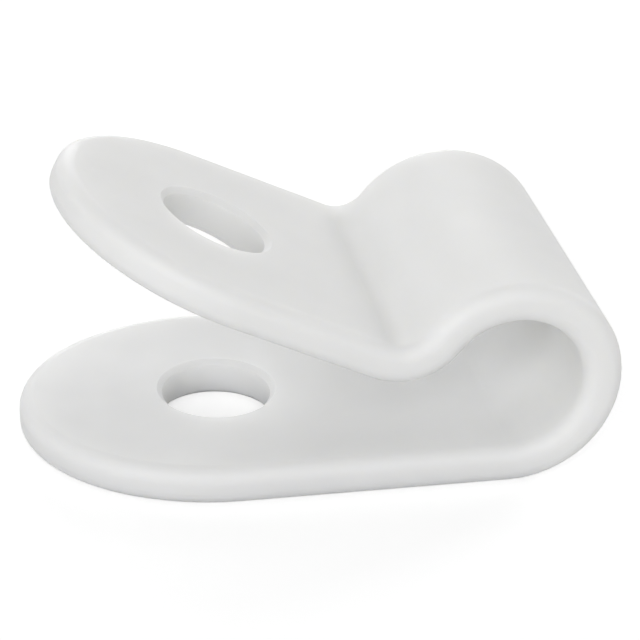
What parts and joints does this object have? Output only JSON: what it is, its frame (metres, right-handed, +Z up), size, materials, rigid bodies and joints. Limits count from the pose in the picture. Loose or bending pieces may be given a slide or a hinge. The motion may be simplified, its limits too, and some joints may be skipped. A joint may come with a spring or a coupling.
{
  "type": "p-type cable clamp",
  "caption": "One-piece plastic P-shaped cable clamp: a strap rolled into a loop, with a screw flange at each end, standing open.",
  "frame": {"origin": "middle of the lower screw hole, on the underside of the lower flange", "axes": "+X along the lower flange towards the loop, +Y along the cable, +Z up, square to the lower flange"},
  "size_m": [0.0219, 0.0126, 0.0112],
  "materials": {
    "natural_nylon": "uncoloured translucent nylon, moulded, with a soft satin gloss"
  },
  "bodies": {
    "root": {"cable_clamp": "natural_nylon"}
  },
  "joints": []
}
